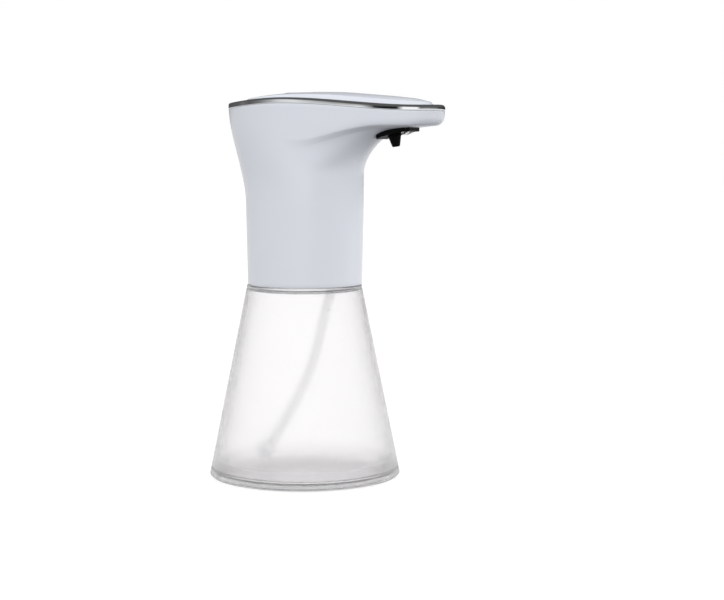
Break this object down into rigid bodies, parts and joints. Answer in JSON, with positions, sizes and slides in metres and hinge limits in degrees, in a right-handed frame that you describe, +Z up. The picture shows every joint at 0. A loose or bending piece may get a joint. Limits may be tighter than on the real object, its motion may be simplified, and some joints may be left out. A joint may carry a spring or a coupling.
{
  "type": "automatic soap dispenser",
  "caption": "Countertop touchless soap dispenser: frosted cone bottle with a round base, lift-off head with spout, sensor window and nozzle, gear pump, battery pack and press button.",
  "frame": {"origin": "centre of the foot pad's underside, where it rests", "axes": "+Z up, +X the way the spout points, +Y to the left of the spout"},
  "size_m": [0.1213, 0.0958, 0.1922],
  "materials": {
    "white_abs": "smooth gloss",
    "chrome": "mirror bright plating",
    "frosted": "frosted translucent",
    "clear_silicone": "translucent silicone",
    "black_plastic": "satin black",
    "smoked_lens": "smoked infrared lens",
    "grey_plastic": "moulded",
    "pale_gear": "natural acetal",
    "steel": "plated steel",
    "copper": "copper windings",
    "board": "solder mask",
    "cell_jacket": "printed jacket, plain",
    "red_wire": "insulation",
    "black_wire": "insulation",
    "rubber": "matte"
  },
  "bodies": {
    "bottle": {"foot_pad": "rubber", "bottle_base": "frosted", "bottle_shell": "frosted"},
    "seal": {"seal_ring": "clear_silicone"},
    "head": {"neck_bulkhead": "white_abs", "inlet_barb": "grey_plastic", "dip_tube": "clear_silicone", "inlet_strainer": "grey_plastic", "head_shell": "white_abs", "chrome_trim": "chrome", "top_cover": "white_abs", "light_ring": "clear_silicone", "main_board": "board", "tact_switch": "black_plastic", "controller_chip": "black_plastic", "sensor_socket": "pale_gear", "battery_case": "grey_plastic", "battery_cover": "white_abs", "battery_cover_screw": "steel", "pump_body": "grey_plastic", "pump_cover": "grey_plastic", "idler_pin": "steel", "pump_screw_1": "steel", "pump_screw_2": "steel", "shaft_seal": "rubber", "motor_can": "steel", "motor_end_bell": "white_abs", "sensor_bezel": "black_plastic", "ir_window": "frosted", "sensor_board": "board", "ir_emitter": "smoked_lens", "ir_receiver": "smoked_lens", "nozzle": "black_plastic", "outlet_valve": "rubber", "outlet_hose": "clear_silicone", "motor_lead_red": "red_wire", "motor_lead_black": "black_wire", "battery_lead_red": "red_wire", "battery_lead_black": "black_wire", "sensor_cable": "black_wire", "bulkhead_screw_1": "steel", "bulkhead_screw_2": "steel", "battery_cell_1": "cell_jacket", "contact_spring_1": "steel", "battery_cell_2": "cell_jacket", "contact_spring_2": "steel", "battery_cell_3": "cell_jacket", "contact_spring_3": "steel", "battery_cell_4": "cell_jacket", "contact_spring_4": "steel", "contact_strip_1": "steel", "contact_strip_2": "steel"},
    "button": {"power_button": "white_abs"},
    "rotor": {"motor_shaft": "steel", "motor_armature": "copper", "drive_gear": "pale_gear"},
    "idler": {"idler_gear": "pale_gear"}
  },
  "joints": [
    {"name": "head_lift", "type": "slide", "parent": "bottle", "child": "seal", "axis": [0, 0, 1], "range_m": [0, 0.1], "deforming": ["dip_tube", "inlet_strainer"]},
    {"name": "head_twist", "type": "hinge", "parent": "seal", "child": "head", "pos_m": [0, 0, 0.0963], "axis": [0, 0, 1], "range_deg": [0, 40]},
    {"name": "button_press", "type": "slide", "parent": "head", "child": "button", "axis": [0, 0, -1], "range_m": [0, 0.0008], "stiffness_N_per_m": 400, "springref_m": -0.002},
    {"name": "motor_spin", "type": "hinge", "parent": "head", "child": "rotor", "pos_m": [0.0114, 0.0045, 0.1113], "axis": [0, 0, 1], "continuous": true},
    {"name": "idler_spin", "type": "hinge", "parent": "head", "child": "idler", "pos_m": [0.0114, -0.0045, 0.1113], "axis": [0, 0, 1], "continuous": true}
  ],
  "couplings": [
    {"joint": "idler_spin", "follows": "motor_spin", "ratio": -1}
  ]
}
